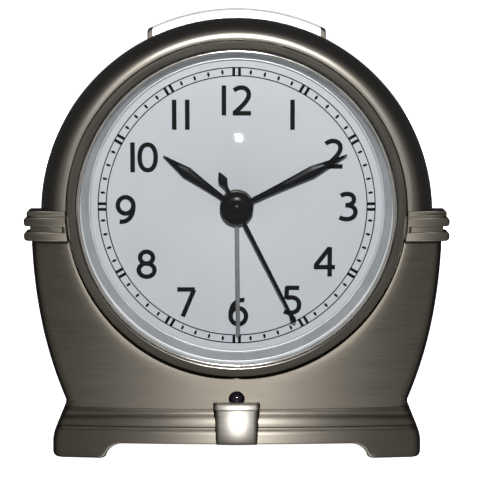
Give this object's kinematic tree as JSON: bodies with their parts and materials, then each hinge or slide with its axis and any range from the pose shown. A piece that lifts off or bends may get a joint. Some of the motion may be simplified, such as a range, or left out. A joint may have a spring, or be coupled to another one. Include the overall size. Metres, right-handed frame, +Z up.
{
  "type": "alarm clock",
  "caption": "Bedside quartz alarm clock with an arched metal case, domed lens, black hands, a snooze bar on top, and setting knobs, alarm switch and battery door at the back.",
  "frame": {"origin": "centre of the overall box, on the table under the feet", "axes": "+Z up, +Y to the back so that the dial faces -Y, +X to the right of someone facing the dial"},
  "size_m": [0.1038, 0.0542, 0.1101],
  "materials": {
    "pewter_case": "brushed pewter grey",
    "bezel_metal": "circular brushed",
    "silver": "satin silver",
    "lens_clear": "clear, polished",
    "dial_face": "matt pale blue grey",
    "hand_black": "gloss black",
    "black_plastic": "fine moulded texture",
    "sensor_black": "smoked, polished",
    "white_plastic": "natural moulded",
    "steel": "zinc plated",
    "brass": "bare",
    "copper_wire": "enamelled copper wire",
    "board_green": "solder mask",
    "battery_sleeve": "printed sleeve"
  },
  "bodies": {
    "case": {"front_case": "pewter_case", "rear_cover": "black_plastic", "bezel_ring": "bezel_metal", "lens": "lens_clear", "reflector_ring": "silver", "dial_lamp_top": "white_plastic", "dial_lamp_bottom": "white_plastic", "dial": "dial_face", "dial_plate": "white_plastic", "light_sensor": "sensor_black", "sensor_board": "board_green", "snooze_switch": "black_plastic", "movement_front_housing": "white_plastic", "movement_rear_housing": "white_plastic", "movement_middle_plate": "white_plastic", "stator": "steel", "coil": "copper_wire", "circuit_board": "board_green", "chip": "black_plastic", "quartz_crystal": "steel", "alarm_contact": "brass", "alarm_switch": "black_plastic", "buzzer": "black_plastic", "battery": "battery_sleeve", "battery_spring": "steel", "battery_contact": "steel", "dial_plate_screw_1": "steel", "rear_cover_screw_1": "steel", "dial_plate_screw_2": "steel", "rear_cover_screw_2": "steel", "dial_plate_screw_3": "steel", "rear_cover_screw_3": "steel", "dial_plate_screw_4": "steel", "rear_cover_screw_4": "steel"},
    "seconds": {"seconds_wheel": "white_plastic", "seconds_hand": "hand_black"},
    "rotor": {"rotor": "steel"},
    "intermediate": {"intermediate_wheel": "white_plastic"},
    "third": {"third_wheel": "white_plastic"},
    "centre": {"centre_wheel": "white_plastic"},
    "time_setting": {"time_set_shaft": "white_plastic", "time_set_knob": "black_plastic"},
    "minute_train": {"minute_wheel": "white_plastic"},
    "minute": {"minute_arbor": "white_plastic", "minute_hand": "hand_black"},
    "hour": {"hour_wheel": "white_plastic", "hour_hand": "hand_black"},
    "alarm_setting": {"alarm_set_shaft": "white_plastic", "alarm_set_knob": "black_plastic"},
    "alarm": {"alarm_wheel": "white_plastic", "alarm_hand": "silver"},
    "snooze": {"snooze_bar": "silver"},
    "alarm_slider": {"alarm_switch_slider": "silver"},
    "door": {"battery_door": "black_plastic"}
  },
  "joints": [
    {"name": "seconds_spin", "type": "hinge", "parent": "case", "child": "seconds", "pos_m": [0, -0.01485, 0.0618], "axis": [0, 1, 0], "continuous": true},
    {"name": "rotor_spin", "type": "hinge", "parent": "case", "child": "rotor", "pos_m": [-0.00564, -0.00085, 0.05275], "axis": [0, 1, 0], "continuous": true},
    {"name": "intermediate_spin", "type": "hinge", "parent": "case", "child": "intermediate", "pos_m": [0, -0.00085, 0.0548], "axis": [0, 1, 0], "continuous": true},
    {"name": "third_spin", "type": "hinge", "parent": "case", "child": "third", "pos_m": [0, -0.00385, 0.0708], "axis": [0, 1, 0], "continuous": true},
    {"name": "centre_spin", "type": "hinge", "parent": "case", "child": "centre", "pos_m": [0, -0.00515, 0.0618], "axis": [0, 1, 0], "continuous": true},
    {"name": "time_set_spin", "type": "hinge", "parent": "case", "child": "time_setting", "pos_m": [-0.01663, 0.02515, 0.0522], "axis": [0, 1, 0], "continuous": true},
    {"name": "minute_train_spin", "type": "hinge", "parent": "case", "child": "minute_train", "pos_m": [-0.00831, -0.00685, 0.057], "axis": [0, 1, 0], "continuous": true},
    {"name": "minute_spin", "type": "hinge", "parent": "case", "child": "minute", "pos_m": [0, -0.00685, 0.0618], "axis": [0, 1, 0], "continuous": true},
    {"name": "hour_spin", "type": "hinge", "parent": "case", "child": "hour", "pos_m": [0, -0.00835, 0.0618], "axis": [0, 1, 0], "continuous": true},
    {"name": "alarm_set_spin", "type": "hinge", "parent": "case", "child": "alarm_setting", "pos_m": [0.00873, 0.02515, 0.05676], "axis": [0, 1, 0], "continuous": true},
    {"name": "alarm_spin", "type": "hinge", "parent": "case", "child": "alarm", "pos_m": [0, -0.00985, 0.0618], "axis": [0, 1, 0], "continuous": true},
    {"name": "snooze_press", "type": "slide", "parent": "case", "child": "snooze", "axis": [0, 0, -1], "range_m": [0, 0.0012], "stiffness_N_per_m": 400, "springref_m": -0.001},
    {"name": "alarm_switch_slide", "type": "slide", "parent": "case", "child": "alarm_slider", "axis": [1, 0, 0], "range_m": [0, 0.004]},
    {"name": "battery_door_pull", "type": "slide", "parent": "case", "child": "door", "axis": [0, 1, 0], "range_m": [0, 0.03]}
  ],
  "couplings": [
    {"joint": "rotor_spin", "follows": "seconds_spin", "ratio": 30},
    {"joint": "intermediate_spin", "follows": "seconds_spin", "ratio": -6},
    {"joint": "third_spin", "follows": "seconds_spin", "ratio": -0.13333},
    {"joint": "centre_spin", "follows": "seconds_spin", "ratio": 0.016667},
    {"joint": "minute_train_spin", "follows": "time_set_spin", "ratio": -0.33333},
    {"joint": "minute_spin", "follows": "time_set_spin", "ratio": 1},
    {"joint": "hour_spin", "follows": "time_set_spin", "ratio": 0.083333},
    {"joint": "alarm_spin", "follows": "alarm_set_spin", "ratio": -0.27273}
  ]
}
